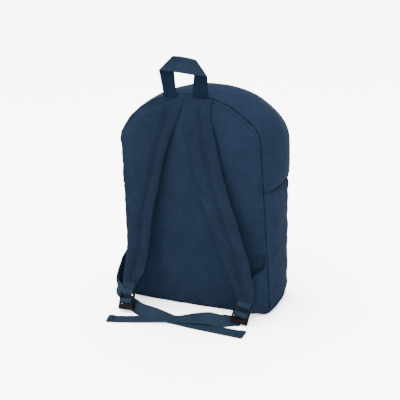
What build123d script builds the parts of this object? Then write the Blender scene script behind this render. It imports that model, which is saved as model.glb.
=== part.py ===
from build123d import *
from math import cos, radians, sin, sqrt
import os

os.makedirs("parts", exist_ok=True)

# School backpack with one zipped main compartment, a zipped front pocket and two padded shoulder straps.
# Millimetres. +Z is up, +Y is the side worn against the back, +X is the wearer's right.
# The origin is the centre of the base, on the surface that the pack stands on.

# Pack shell
DEPTH = 120.0
BACK_Y = DEPTH / 2
FRONT_Y = -DEPTH / 2
BEYOND_SIDE = 200.0
BASE_CORNER_R = 14.0
FRONT_ROUND_R = 45.0
WALL = 1.5
LAYER_GAP = 0.3

# Front elevations: half width at the base, inward taper, crown radius, crown centre height, shoulder radius.
# The stuffed pack is fullest between its two girth depths, and draws in to the back and front seams.
BACK_OUTLINE = (150.0, 0.04, 170.0, 240.0, 50.0)
GIRTH_OUTLINE = (152.0, -0.019, 190.0, 224.0, 60.0)
FRONT_OUTLINE = (149.0, 0.0, 184.0, 226.0, 55.0)
GIRTH_BACK_Y = 15.0
GIRTH_FRONT_Y = -46.0

# Seams between the shell's panels
BASE_SEAM_Z = 16.0
SIDE_SEAM_Z = 238.0
FLAP_SEAM_Z = 235.0

# Padded back
FOAM_T = 5.0
LINING_T = 0.6
BINDING_T = 1.2
BINDING_W = 8.9

# Zips
ZIP_Y = -41.0
ZIP_OPENING = 10.0
COIL_W = 2.2
COIL_GAP = 1.6
COIL_H = 2.0
TAPE_W = 12.2
TAPE_T = 0.6

# Zip sliders and pullers
SLIDER_L = 11.0
SLIDER_W = 8.0
SLIDER_PLATE = 1.3
SLIDER_CLEAR = 0.8
BRIDGE_H = 2.8
BRIDGE_L = 7.0
BRIDGE_W = 1.0
PULLER_L = 30.0
PULLER_W = 7.0
PULLER_T = 1.4
UPPER_SLIDER_DEG = 46.5
LOWER_SLIDER_DEG = 55.0

# Front pocket
POCKET_W = 220.0
POCKET_BOTTOM_Z = 55.0
POCKET_TOP_Z = 205.0
POCKET_DEPTH = 12.0
POCKET_CORNER_R = 25.0
POCKET_WALL = 1.2
POCKET_ZIP_Z = 184.0
POCKET_ZIP_L = 196.0
POCKET_SLIDER_X = -84.0

# Webbing and carry handle
WEBBING_W = 25.0
WEBBING_T = 1.6
HANDLE_T = 1.8
HANDLE_Y = 59.5
HANDLE_FOOT_Z = 411.0
HANDLE_ELBOW_Z = 446.0
HANDLE_TOP_Z = 472.0

# Shoulder straps
STRAP_T = 9.0
STRAP_SKIN = 1.0
STRAP_TOP_Z = 396.0
STRAP_TOP_Y = BACK_Y + 0.6
LEFT_STRAP_TILT = 6.3
RIGHT_STRAP_TILT = 8.0

# Ladder-lock buckles
LOCK_W = 32.0
LOCK_L = 36.0
LOCK_T = 4.0
LOCK_RAIL = 3.2
LOCK_WINDOW = 18.0
LOCK_SLOT = 5.0
LOCK_BAR = 2.5
LOOP_BAR_D = 3.2
LOOP_BAR_AT = 3.0
LOOP_CLEAR = 0.4
LOOP_T = 1.3
LOOP_REACH = 11.0


def outline(shape, inset):
    """Front elevation at one depth, inset from the outer face of the fabric."""
    half_base, taper, crown_r, crown_z, shoulder_r = shape
    slope = 1 + taper**2
    middle = half_base * taper + crown_z
    side_z = (middle + sqrt(middle**2 - slope * (half_base**2 + crown_z**2 - crown_r**2))) / slope
    side_x = half_base - taper * side_z
    with BuildSketch() as face:
        with BuildLine():
            Polyline((-side_x, side_z), (-half_base, 0), (half_base, 0), (side_x, side_z))
            ThreePointArc((side_x, side_z), (0, crown_z + crown_r), (-side_x, side_z))
        make_face()
        fillet(face.vertices().group_by(Axis.Y)[-1], radius=shoulder_r)
        fillet(face.vertices().group_by(Axis.Y)[0], radius=BASE_CORNER_R)
        if inset:
            offset(amount=-inset)
    return face.sketch


def form(inset):
    """The whole stuffed shape, inset from the outer face of its gusset, with square lower edges."""
    with BuildPart() as body:
        for back_y, back_shape, front_y, front_shape in (
            (BACK_Y, BACK_OUTLINE, GIRTH_BACK_Y, GIRTH_OUTLINE),
            (GIRTH_FRONT_Y, GIRTH_OUTLINE, FRONT_Y, FRONT_OUTLINE),
        ):
            with BuildSketch(Plane.XZ.offset(-back_y)):
                add(outline(back_shape, inset))
            with BuildSketch(Plane.XZ.offset(-front_y)):
                add(outline(front_shape, inset))
            loft(ruled=True)
        with BuildSketch(Plane.XZ.offset(-GIRTH_BACK_Y)):
            add(outline(GIRTH_OUTLINE, inset))
        extrude(amount=GIRTH_BACK_Y - GIRTH_FRONT_Y)
    return body.part


def side_profile(inset):
    """Side elevation of the pack, with the soft lower front corner rounded."""
    with BuildSketch() as face:
        with BuildLine():
            low = inset
            high = HANDLE_TOP_Z
            front = FRONT_Y + inset
            radius = FRONT_ROUND_R - inset
            bend = radius * (1 - sqrt(0.5))
            Polyline(
                (front + radius, low),
                (BACK_Y, low),
                (BACK_Y, high),
                (front, high),
                (front, low + radius),
            )
            ThreePointArc((front, low + radius), (front + bend, low + bend), (front + radius, low))
        make_face()
    return face.sketch


def keep_depths(back_y, front_y):
    """Trims the part in progress to the depths between two planes."""
    split(bisect_by=Plane.XZ.offset(-back_y), keep=Keep.TOP)
    split(bisect_by=Plane.XZ.offset(-front_y), keep=Keep.BOTTOM)


def plate(inset, back_y, front_y):
    """A slab across the whole pack, between two depths."""
    with BuildPart() as slab:
        add(form(inset))
        keep_depths(back_y, front_y)
    return slab.part


def band(outer_inset, inner_inset, back_y, front_y):
    """A wall that follows the gusset, between two depths, with the lower front corner rounded."""
    with BuildPart() as wall:
        add(form(outer_inset))
        add(form(inner_inset), mode=Mode.SUBTRACT)
        keep_depths(back_y, front_y)
        with BuildSketch(Plane.YZ):
            add(side_profile(0.0))
        extrude(amount=BEYOND_SIDE, both=True, mode=Mode.INTERSECT)
    return wall.part


def front_wall():
    """The front fabric inside the side walls, with its rounded lower corner and the flat base behind it."""
    with BuildPart() as wall:
        with BuildSketch(Plane.YZ):
            add(side_profile(0.0))
            add(side_profile(WALL), mode=Mode.SUBTRACT)
        extrude(amount=BEYOND_SIDE, both=True)
        add(plate(WALL, BACK_Y - WALL, FRONT_Y), mode=Mode.INTERSECT)
    return wall.part


def finish(part, name):
    part.label = name
    export_step(part, f"parts/{name}.step")


# ---------------------------------------------------------------- pack shell

with BuildPart() as back_panel:
    add(plate(0.0, BACK_Y, BACK_Y - WALL))
finish(back_panel.part, "back_panel")

with BuildPart() as back_foam:
    add(plate(WALL + 4, BACK_Y - WALL, BACK_Y - WALL - FOAM_T))
finish(back_foam.part, "back_foam")

lining_back_y = BACK_Y - WALL - FOAM_T
lining_front_y = lining_back_y - LINING_T
with BuildPart() as back_lining:
    add(plate(WALL + 0.5, lining_back_y, lining_front_y))
finish(back_lining.part, "back_lining")

with BuildPart() as back_seam_binding:
    add(band(WALL, WALL + BINDING_T, lining_front_y, lining_front_y - BINDING_W))
finish(back_seam_binding.part, "back_seam_binding")

shell_wall = band(0.0, WALL, BACK_Y - WALL, FRONT_Y)

with BuildPart() as base_panel:
    add(shell_wall)
    split(bisect_by=Plane.XY.offset(BASE_SEAM_Z), keep=Keep.BOTTOM)
finish(base_panel.part, "base_panel")

for name, side in (("side_panel_left", Keep.BOTTOM), ("side_panel_right", Keep.TOP)):
    with BuildPart() as side_panel:
        add(shell_wall)
        split(bisect_by=Plane.XY.offset(BASE_SEAM_Z), keep=Keep.TOP)
        split(bisect_by=Plane.XY.offset(SIDE_SEAM_Z), keep=Keep.BOTTOM)
        split(bisect_by=Plane.YZ, keep=side)
    finish(side_panel.part, name)

with BuildPart() as front_panel_lower:
    add(front_wall())
    split(bisect_by=Plane.XY.offset(WALL + 1), keep=Keep.TOP)
    split(bisect_by=Plane.XY.offset(FLAP_SEAM_Z), keep=Keep.BOTTOM)
finish(front_panel_lower.part, "front_panel_lower")

with BuildPart() as front_seam_binding:
    add(band(WALL, WALL + BINDING_T, FRONT_Y + WALL + BINDING_W, FRONT_Y + WALL))
    split(bisect_by=Plane.XY.offset(FRONT_ROUND_R + 5), keep=Keep.TOP)
    split(bisect_by=Plane.XY.offset(FLAP_SEAM_Z), keep=Keep.BOTTOM)
finish(front_seam_binding.part, "front_seam_binding")

with BuildPart() as top_gusset:
    add(band(0.0, WALL, BACK_Y - WALL, ZIP_Y + ZIP_OPENING / 2))
    split(bisect_by=Plane.XY.offset(SIDE_SEAM_Z), keep=Keep.TOP)
finish(top_gusset.part, "top_gusset")

# ---------------------------------------------------------------- front flap

flap_bottom_z = SIDE_SEAM_Z + LAYER_GAP

with BuildPart() as flap_gusset:
    add(band(0.0, WALL, ZIP_Y - ZIP_OPENING / 2, FRONT_Y))
    split(bisect_by=Plane.XY.offset(flap_bottom_z), keep=Keep.TOP)
finish(flap_gusset.part, "flap_gusset")

with BuildPart() as front_panel_upper:
    add(plate(WALL + 2 * LAYER_GAP, FRONT_Y + WALL, FRONT_Y))
    split(bisect_by=Plane.XY.offset(FLAP_SEAM_Z + LAYER_GAP), keep=Keep.TOP)
finish(front_panel_upper.part, "front_panel_upper")

tape_edge = COIL_GAP / 2
flap_tape_front_y = ZIP_Y - tape_edge - TAPE_W
with BuildPart() as flap_seam_binding:
    add(band(WALL, WALL + BINDING_T, flap_tape_front_y, FRONT_Y + WALL))
    split(bisect_by=Plane.XY.offset(flap_bottom_z), keep=Keep.TOP)
finish(flap_seam_binding.part, "flap_seam_binding")

# ---------------------------------------------------------------- main zip

zip_halves = (
    ("back", ZIP_Y + tape_edge, TAPE_W, COIL_W),
    ("front", ZIP_Y - tape_edge, -TAPE_W, -COIL_W),
)
for half, edge_y, tape_run, coil_run in zip_halves:
    with BuildPart() as zip_tape:
        add(band(WALL, WALL + TAPE_T, max(edge_y, edge_y + tape_run), min(edge_y, edge_y + tape_run)))
        split(bisect_by=Plane.XY.offset(flap_bottom_z), keep=Keep.TOP)
    finish(zip_tape.part, f"zip_tape_{half}")
    with BuildPart() as zip_coil:
        with BuildSketch(Plane.XZ.offset(-edge_y)):
            add(outline(GIRTH_OUTLINE, WALL - COIL_H))
            add(outline(GIRTH_OUTLINE, WALL), mode=Mode.SUBTRACT)
        extrude(amount=-coil_run)
        split(bisect_by=Plane.XY.offset(flap_bottom_z), keep=Keep.TOP)
    finish(zip_coil.part, f"zip_coil_{half}")


def slider(zip_plane):
    """Slider on a closed zip: zip_plane lies on the tape's outer face, x along the zip, z outwards."""
    top_z = COIL_H + SLIDER_CLEAR
    under_z = -TAPE_T - SLIDER_CLEAR
    bridge_z = top_z + SLIDER_PLATE + BRIDGE_H
    post_w = COIL_GAP - 2 * LAYER_GAP
    with BuildPart() as body:
        with BuildSketch(zip_plane.offset(top_z)):
            RectangleRounded(SLIDER_L, SLIDER_W, 1.8)
        extrude(amount=SLIDER_PLATE)
        with BuildSketch(zip_plane.offset(under_z - SLIDER_PLATE)):
            RectangleRounded(SLIDER_L, SLIDER_W, 1.8)
        extrude(amount=SLIDER_PLATE)
        with BuildSketch(zip_plane.offset(under_z)):
            Rectangle(SLIDER_L * 0.4, post_w)
        extrude(amount=top_z - under_z)
        with BuildSketch(zip_plane.offset(top_z + SLIDER_PLATE)):
            with GridLocations(BRIDGE_L - BRIDGE_W, 1, 2, 1):
                Rectangle(BRIDGE_W, BRIDGE_W)
        extrude(amount=BRIDGE_H)
        with BuildSketch(zip_plane.offset(bridge_z)):
            Rectangle(BRIDGE_L, BRIDGE_W)
        extrude(amount=BRIDGE_W)
    return body.part


pin_height = COIL_H + SLIDER_CLEAR + SLIDER_PLATE + BRIDGE_H / 2


def puller(hinge_plane):
    """Puller tab: hinge_plane has x along the tab, y along the pin and z out of the tab's face."""
    slot_l = BRIDGE_L / 2 + BRIDGE_W
    slot_w = BRIDGE_W + 2 * 0.6
    with BuildPart() as tab:
        with BuildSketch(hinge_plane.offset(-PULLER_T / 2)):
            with Locations((PULLER_L / 2, 0)):
                RectangleRounded(PULLER_L, PULLER_W, 2.2)
            with Locations((slot_l / 2 + PULLER_T / 2, 0)):
                Rectangle(slot_l, slot_w, mode=Mode.SUBTRACT)
            with Locations((PULLER_L - 6, 0)):
                SlotOverall(6, 3, mode=Mode.SUBTRACT)
        extrude(amount=PULLER_T)
    return tab.part


def zip_plane_at(arc_centre, arc_radius, angle_deg):
    """Plane on the main zip's tape, where the outline's arc stands at an angle from the vertical."""
    out = Vector(sin(radians(angle_deg)), 0, cos(radians(angle_deg)))
    along = Vector(cos(radians(angle_deg)), 0, -sin(radians(angle_deg)))
    middle = Vector(arc_centre[0], ZIP_Y, arc_centre[1])
    return Plane(origin=middle + out * (arc_radius - WALL), x_dir=along, z_dir=out)


def shoulder_centre():
    """Centre of the zip's arc between the crown and the side, on the wearer's right."""
    half_base, taper, crown_r, crown_z, shoulder_r = GIRTH_OUTLINE
    slope = 1 + taper**2
    reach = crown_r - shoulder_r
    start_x = half_base - shoulder_r * sqrt(slope) - taper * crown_z
    lean = taper * start_x
    rise = (lean + sqrt(lean**2 - slope * (start_x**2 - reach**2))) / slope
    return (start_x - taper * rise, crown_z + rise)


crown_r = GIRTH_OUTLINE[2]
crown_z = GIRTH_OUTLINE[3]
shoulder_r = GIRTH_OUTLINE[4]
upper_zip = zip_plane_at((0, crown_z), crown_r, UPPER_SLIDER_DEG)
lower_zip = zip_plane_at(shoulder_centre(), shoulder_r, LOWER_SLIDER_DEG)

with BuildPart() as slider_upper:
    add(slider(upper_zip))
finish(slider_upper.part, "slider_upper")

upper_pin = upper_zip.offset(pin_height).origin
with BuildPart() as puller_upper:
    add(puller(Plane(origin=upper_pin, x_dir=-upper_zip.x_dir, z_dir=upper_zip.z_dir)))
finish(puller_upper.part, "puller_upper")

with BuildPart() as slider_lower:
    add(slider(lower_zip))
finish(slider_lower.part, "slider_lower")

with BuildPart() as puller_lower:
    add(puller(lower_zip.offset(pin_height)))
finish(puller_lower.part, "puller_lower")

# ---------------------------------------------------------------- front pocket

pocket_mid_z = (POCKET_TOP_Z + POCKET_BOTTOM_Z) / 2
pocket_h = POCKET_TOP_Z - POCKET_BOTTOM_Z
pocket_face_y = FRONT_Y - POCKET_DEPTH
pocket_slit_low = POCKET_ZIP_Z - ZIP_OPENING / 2
pocket_slit_high = POCKET_ZIP_Z + ZIP_OPENING / 2

with BuildPart() as pocket_gusset:
    with BuildSketch(Plane.XZ.offset(-FRONT_Y)):
        with Locations((0, pocket_mid_z)):
            RectangleRounded(POCKET_W, pocket_h, POCKET_CORNER_R)
        offset(amount=-POCKET_WALL, mode=Mode.SUBTRACT)
    extrude(amount=POCKET_DEPTH - POCKET_WALL)
finish(pocket_gusset.part, "pocket_gusset")


def pocket_face():
    with BuildPart() as face:
        with BuildSketch(Plane.XZ.offset(-pocket_face_y - POCKET_WALL)):
            with Locations((0, pocket_mid_z)):
                RectangleRounded(POCKET_W, pocket_h, POCKET_CORNER_R)
        extrude(amount=POCKET_WALL)
    return face.part


with BuildPart() as pocket_panel:
    add(pocket_face())
    split(bisect_by=Plane.XY.offset(pocket_slit_low), keep=Keep.BOTTOM)
finish(pocket_panel.part, "pocket_panel")

with BuildPart() as pocket_top_strip:
    add(pocket_face())
    split(bisect_by=Plane.XY.offset(pocket_slit_high), keep=Keep.TOP)
finish(pocket_top_strip.part, "pocket_top_strip")

pocket_tape_y = pocket_face_y + POCKET_WALL
with BuildPart() as pocket_zip_tapes:
    with BuildSketch(Plane.XZ.offset(-pocket_tape_y - TAPE_T)):
        with Locations((0, POCKET_ZIP_Z)):
            with GridLocations(1, COIL_GAP + TAPE_W, 1, 2):
                Rectangle(POCKET_ZIP_L, TAPE_W)
    extrude(amount=TAPE_T)
finish(pocket_zip_tapes.part, "pocket_zip_tapes")

with BuildPart() as pocket_zip_coils:
    with BuildSketch(Plane.XZ.offset(-pocket_tape_y)):
        with Locations((0, POCKET_ZIP_Z)):
            with GridLocations(1, COIL_GAP + COIL_W, 1, 2):
                Rectangle(POCKET_ZIP_L, COIL_W)
    extrude(amount=COIL_H)
finish(pocket_zip_coils.part, "pocket_zip_coils")

pocket_zip = Plane(origin=(POCKET_SLIDER_X, pocket_tape_y, POCKET_ZIP_Z), x_dir=(1, 0, 0), z_dir=(0, -1, 0))
with BuildPart() as pocket_slider:
    add(slider(pocket_zip))
finish(pocket_slider.part, "pocket_slider")

# This puller hangs from a ring on the bridge, so that it lies flat down the pocket.
ring_r = 2.8
ring_wire = 1.0
ring_drop = 0.8
ring_y = pocket_tape_y - COIL_H - SLIDER_CLEAR - SLIDER_PLATE - BRIDGE_H - BRIDGE_W / 2
with BuildPart() as pocket_puller:
    with BuildSketch(Plane.YZ.offset(POCKET_SLIDER_X - ring_wire / 2)):
        with Locations((ring_y, POCKET_ZIP_Z - ring_drop)):
            Circle(ring_r)
            Circle(ring_r - ring_wire, mode=Mode.SUBTRACT)
    extrude(amount=ring_wire)
    with BuildSketch(Plane.XZ.offset(-ring_y - PULLER_T / 2)):
        with Locations((POCKET_SLIDER_X, POCKET_ZIP_Z - ring_drop - ring_r - PULLER_L / 2 + 0.6)):
            RectangleRounded(PULLER_W, PULLER_L, 2.2)
    extrude(amount=PULLER_T)
finish(pocket_puller.part, "pocket_puller")

# ---------------------------------------------------------------- carry handle

foot_inner = 14.0
foot_outer = foot_inner + WEBBING_W
elbow_inner = 17.0
elbow_outer = 44.0
top_half = 20.0
with BuildPart() as carry_handle:
    with BuildSketch(Plane.XZ.offset(-HANDLE_Y - HANDLE_T / 2)):
        with BuildLine():
            Polyline(
                (-foot_outer, HANDLE_FOOT_Z - HANDLE_T / 2),
                (-elbow_outer, HANDLE_ELBOW_Z),
                (-top_half, HANDLE_TOP_Z),
                (top_half, HANDLE_TOP_Z),
                (elbow_outer, HANDLE_ELBOW_Z),
                (foot_outer, HANDLE_FOOT_Z - HANDLE_T / 2),
                (foot_inner, HANDLE_FOOT_Z - HANDLE_T / 2),
                (elbow_inner, HANDLE_ELBOW_Z),
                (-elbow_inner, HANDLE_ELBOW_Z),
                (-foot_inner, HANDLE_FOOT_Z - HANDLE_T / 2),
                close=True,
            )
        make_face()
    extrude(amount=HANDLE_T)
    with BuildSketch(Plane.XZ.offset(-HANDLE_Y - 1.5 * HANDLE_T)):
        with BuildLine():
            Polyline(
                (-elbow_outer, HANDLE_ELBOW_Z),
                (-top_half, HANDLE_TOP_Z),
                (top_half, HANDLE_TOP_Z),
                (elbow_outer, HANDLE_ELBOW_Z),
                close=True,
            )
        make_face()
    extrude(amount=HANDLE_T)
finish(carry_handle.part, "carry_handle")

# ---------------------------------------------------------------- shoulder straps

# Each strap lies in a plane that leaves the back panel at its top seam.
# Its two edges are drawn from top to bottom as X and the distance below that seam.


def strap_plane(tilt_deg):
    lean = radians(tilt_deg)
    return Plane(origin=(0, STRAP_TOP_Y, STRAP_TOP_Z), x_dir=(1, 0, 0), z_dir=(0, -cos(lean), -sin(lean)))


def shifted_edge(edge, shift_x, inset):
    """An edge's points moved sideways, with its first and last drawn in from the strap's ends."""
    first, *middle, last = edge
    ends_in = [(first[0], first[1] - inset), *middle, (last[0], last[1] + inset)]
    return [(x + shift_x, drop) for x, drop in ends_in]


def strap_outline(inner_edge, outer_edge, inset):
    outward = 1 if outer_edge[0][0] > inner_edge[0][0] else -1
    inner = shifted_edge(inner_edge, outward * inset, inset)
    outer = shifted_edge(outer_edge, -outward * inset, inset)
    with BuildSketch() as face:
        with BuildLine():
            Spline(*inner)
            Line(inner[-1], outer[-1])
            Spline(*reversed(outer))
            Line(outer[0], inner[0])
        make_face()
    return face.sketch


def strap_slab(edges, tilt_deg, inset):
    """A strap-shaped slab; inset shrinks it on every side, its two faces included."""
    thickness = STRAP_T - 2 * inset
    with BuildPart() as slab:
        with BuildSketch(strap_plane(tilt_deg).offset(-STRAP_T + inset)):
            add(strap_outline(edges[0], edges[1], inset))
        extrude(amount=thickness)
    return slab.part


left_strap = (
    ((-0.8, 0), (-1.5, -60), (-17, -116), (-43, -208), (-79, -296), (-100, -345)),
    ((-55, 0), (-54, -40), (-63, -82), (-82, -160), (-115, -255), (-130, -345)),
)
right_strap = (
    ((0.8, 0), (29, -68), (56, -164), (74, -260), (100, -345)),
    ((62, 0), (96, -86), (105, -162), (120, -250), (132, -345)),
)
strap_sides = (
    ("left", left_strap, LEFT_STRAP_TILT),
    ("right", right_strap, RIGHT_STRAP_TILT),
)
for side, edges, tilt_deg in strap_sides:
    with BuildPart() as strap_cover:
        add(strap_slab(edges, tilt_deg, 0.0))
        add(strap_slab(edges, tilt_deg, STRAP_SKIN), mode=Mode.SUBTRACT)
    finish(strap_cover.part, f"strap_cover_{side}")
    with BuildPart() as strap_foam:
        add(strap_slab(edges, tilt_deg, STRAP_SKIN))
    finish(strap_foam.part, f"strap_foam_{side}")

# ---------------------------------------------------------------- ladder-lock buckles

# A buckle's plane has its origin on the loop bar, x across the webbing, y up towards the strap.


def buckle_plane(top, bottom, across):
    up = (Vector(*top) - Vector(*bottom)).normalized()
    side = Vector(*across)
    side = (side - up * side.dot(up)).normalized()
    return Plane(origin=top, x_dir=side, z_dir=side.cross(up))


def ladder_lock(plane):
    """Frame with a round loop bar, two webbing bars and a thumb tab."""
    bar_half = LOCK_W / 2
    with BuildPart() as frame:
        with BuildSketch(plane.offset(-LOCK_T / 2)):
            with Locations((0, LOOP_BAR_AT - LOCK_L / 2)):
                RectangleRounded(LOCK_W, LOCK_L, 3)
            slot_w = LOCK_W - 2 * LOCK_RAIL
            with Locations((0, LOOP_BAR_AT - LOCK_WINDOW / 2)):
                Rectangle(slot_w, LOCK_WINDOW, mode=Mode.SUBTRACT)
            with Locations((0, LOOP_BAR_AT - LOCK_WINDOW - LOCK_BAR - LOCK_SLOT / 2)):
                Rectangle(slot_w, LOCK_SLOT, mode=Mode.SUBTRACT)
        extrude(amount=LOCK_T)
        bar_start = plane.origin - plane.x_dir * bar_half
        with BuildSketch(Plane(origin=bar_start, x_dir=plane.y_dir, z_dir=plane.x_dir)):
            Circle(LOOP_BAR_D / 2)
        extrude(amount=LOCK_W)
    return frame.part


def buckle_loop(plane):
    """Doubled webbing below the padded end, which goes round the loop bar and back."""
    inner = LOOP_BAR_D / 2 + LOOP_CLEAR
    outer = inner + LOOP_T
    reach = LOOP_REACH
    start = plane.origin - plane.x_dir * (WEBBING_W / 2)
    with BuildPart() as loop:
        with BuildSketch(Plane(origin=start, x_dir=plane.y_dir, z_dir=plane.x_dir)):
            Circle(outer)
            with Locations((reach / 2, 0)):
                Rectangle(reach, 2 * outer)
            Circle(inner, mode=Mode.SUBTRACT)
            with Locations((reach / 2 - LOOP_T, 0)):
                Rectangle(reach - 2 * LOOP_T, 2 * inner, mode=Mode.SUBTRACT)
        extrude(amount=WEBBING_W)
    return loop.part


left_lock = buckle_plane((-113, 103, 36), (-106.5, 113, 6), (1, 0.2, 0))
right_lock = buckle_plane((120, 113, 33), (117, 135, 4), (1, -0.1, 0))
for side, plane in (("left", left_lock), ("right", right_lock)):
    with BuildPart() as lock:
        add(ladder_lock(plane))
    finish(lock.part, f"ladder_lock_{side}")
    with BuildPart() as loop:
        add(buckle_loop(plane))
    finish(loop.part, f"buckle_loop_{side}")

# ---------------------------------------------------------------- wings and adjusting webbing

WING_T = 1.5
WING_TOP_Z = 120.0

with BuildPart() as wing_left:
    with BuildSketch(Plane.XZ.offset(-BACK_Y - WING_T)):
        with BuildLine():
            Polyline(
                (-145, WING_TOP_Z),
                (-149.5, 4),
                (-118, 12),
                (-108, 38),
                (-124, 70),
                (-141, 94),
                close=True,
            )
        make_face()
    extrude(amount=WING_T)
finish(wing_left.part, "wing_left")

with BuildPart() as wing_right:
    with BuildSketch(Plane(origin=(147, BACK_Y + 0.5, 0), x_dir=(0.18, 1, 0), z_dir=(1, -0.18, 0))):
        with BuildLine():
            Polyline((0, WING_TOP_Z), (0, 4), (38, 18), (50, 34), (50, 60), (30, 84), close=True)
        make_face()
    extrude(amount=WING_T)
finish(wing_right.part, "wing_right")


def strip(start, end, across, width, thickness):
    """A flat strip of webbing between two points."""
    run = Vector(*end) - Vector(*start)
    with BuildPart() as tape:
        with BuildSketch(Plane(origin=start, x_dir=across, z_dir=run)):
            Rectangle(width, thickness)
        extrude(amount=run.length)
    return tape.part


with BuildPart() as anchor_webbing_left:
    add(strip((-112, BACK_Y + WING_T + 1, 36), (-113, 95, 24), (1, 0, 0), WEBBING_W, WEBBING_T))
finish(anchor_webbing_left.part, "anchor_webbing_left")

with BuildPart() as anchor_webbing_right:
    add(strip((148, 110, 44), (138, 119, 35), (0, 0, 1), WEBBING_W, WEBBING_T))
finish(anchor_webbing_right.part, "anchor_webbing_right")


def tail(start, end, heights):
    """Free webbing over the floor; heights are distances along it with heights above the floor."""
    run = Vector(end[0] - start[0], end[1] - start[1], 0)
    along = run.normalized()
    side = along.cross(Vector(0, 0, 1))
    corner = Vector(start[0], start[1], 0) - side * (WEBBING_W / 2)
    with BuildPart() as ribbon:
        with BuildSketch(Plane(origin=corner, x_dir=along, z_dir=side)):
            with BuildLine():
                lower = [(d, h) for d, h in heights]
                upper = [(d, h + WEBBING_T) for d, h in reversed(heights)]
                Polyline(*lower, *upper, close=True)
            make_face()
        extrude(amount=WEBBING_W)
    return ribbon.part


# The left tail arches off its buckle and then crosses over the right one.
over_h = WEBBING_T + LAYER_GAP
left_heights = ((0, 8), (15, 10), (60, 11), (100, 3.4), (130, over_h), (200, over_h), (215, 0.1), (230, 0.1))
right_heights = ((0, 0.1), (234, 0.1))
tails = (
    ("left", (-86, 121), (140, 168), left_heights),
    ("right", (112, 134), (-122, 140), right_heights),
)
for side, start, end, heights in tails:
    with BuildPart() as webbing_tail:
        add(tail(start, end, heights))
    finish(webbing_tail.part, f"webbing_tail_{side}")
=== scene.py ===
import math

import bmesh
import bpy
import numpy as np
from mathutils import Matrix, Vector, noise
from mathutils.bvhtree import BVHTree


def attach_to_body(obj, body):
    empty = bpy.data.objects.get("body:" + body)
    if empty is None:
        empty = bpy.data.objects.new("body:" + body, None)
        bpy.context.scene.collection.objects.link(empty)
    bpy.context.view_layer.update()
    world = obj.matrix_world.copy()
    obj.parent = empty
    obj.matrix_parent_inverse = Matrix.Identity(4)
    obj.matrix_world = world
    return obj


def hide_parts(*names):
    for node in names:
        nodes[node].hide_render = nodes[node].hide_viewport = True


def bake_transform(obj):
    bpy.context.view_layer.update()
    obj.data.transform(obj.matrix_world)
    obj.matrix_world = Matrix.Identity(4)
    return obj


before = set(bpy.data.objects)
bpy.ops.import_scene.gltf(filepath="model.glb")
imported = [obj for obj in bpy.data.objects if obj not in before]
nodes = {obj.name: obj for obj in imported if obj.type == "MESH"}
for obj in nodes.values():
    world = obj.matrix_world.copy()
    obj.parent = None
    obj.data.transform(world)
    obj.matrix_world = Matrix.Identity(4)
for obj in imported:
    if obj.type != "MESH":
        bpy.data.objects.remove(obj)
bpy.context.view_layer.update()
MM = 0.001
link_object = bpy.context.scene.collection.objects.link

# ---- materials


def shader(name, roughness, specular=0.5):
    material = bpy.data.materials.new(name)
    material.use_nodes = True
    tree = material.node_tree
    bsdf = tree.nodes["Principled BSDF"]
    bsdf.inputs["Roughness"].default_value = roughness
    bsdf.inputs["Specular IOR Level"].default_value = specular
    return material, tree, bsdf


def add_node(tree, kind, **inputs):
    node = tree.nodes.new(kind)
    for key, value in inputs.items():
        node.inputs[key].default_value = value
    return node


def math_node(operation, a, b):
    tree = b.id_data if isinstance(a, float) else a.id_data
    node = tree.nodes.new("ShaderNodeMath")
    node.operation = operation
    for socket, value in zip(node.inputs, (a, b)):
        if isinstance(value, float):
            socket.default_value = value
        else:
            tree.links.new(value, socket)
    return node.outputs[0]


def plus(a, b):
    return math_node("ADD", a, b)


def times(a, b):
    return math_node("MULTIPLY", a, b)


def colour_ramp(factor, low, high, start=0.3, end=0.7):
    node = factor.id_data.nodes.new("ShaderNodeValToRGB")
    for element, position, colour in zip(node.color_ramp.elements, (start, end), (low, high)):
        element.position = position
        element.color = (*colour, 1)
    factor.id_data.links.new(factor, node.inputs[0])
    return node.outputs[0]


def noise_tex(vector, scale, detail=3.0, rough=0.55):
    node = add_node(vector.id_data, "ShaderNodeTexNoise", Scale=scale, Detail=detail, Roughness=rough)
    vector.id_data.links.new(vector, node.inputs["Vector"])
    return node.outputs["Fac"]


def bands(vector, direction, period, distortion=0.4):
    """Regular ridges along one direction, with the given period in metres."""
    scale = math.pi / 10 / period
    node = add_node(vector.id_data, "ShaderNodeTexWave", Scale=scale, Distortion=distortion, Detail=1.0)
    node.inputs["Detail Scale"].default_value = 1.5
    node.bands_direction = direction
    vector.id_data.links.new(vector, node.inputs["Vector"])
    return node.outputs["Fac"]


def bump(height, strength, distance):
    node = add_node(height.id_data, "ShaderNodeBump", Strength=strength, Distance=distance)
    height.id_data.links.new(height, node.inputs["Height"])
    return node


def vary_roughness(bsdf, pattern, roughness, spread):
    """Gloss that follows a pattern, around the given roughness."""
    value = plus(times(pattern, spread), roughness - spread / 2)
    pattern.id_data.links.new(value, bsdf.inputs["Roughness"])


def texture_space(tree, kind="Object"):
    return tree.nodes.new("ShaderNodeTexCoord").outputs[kind]


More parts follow.
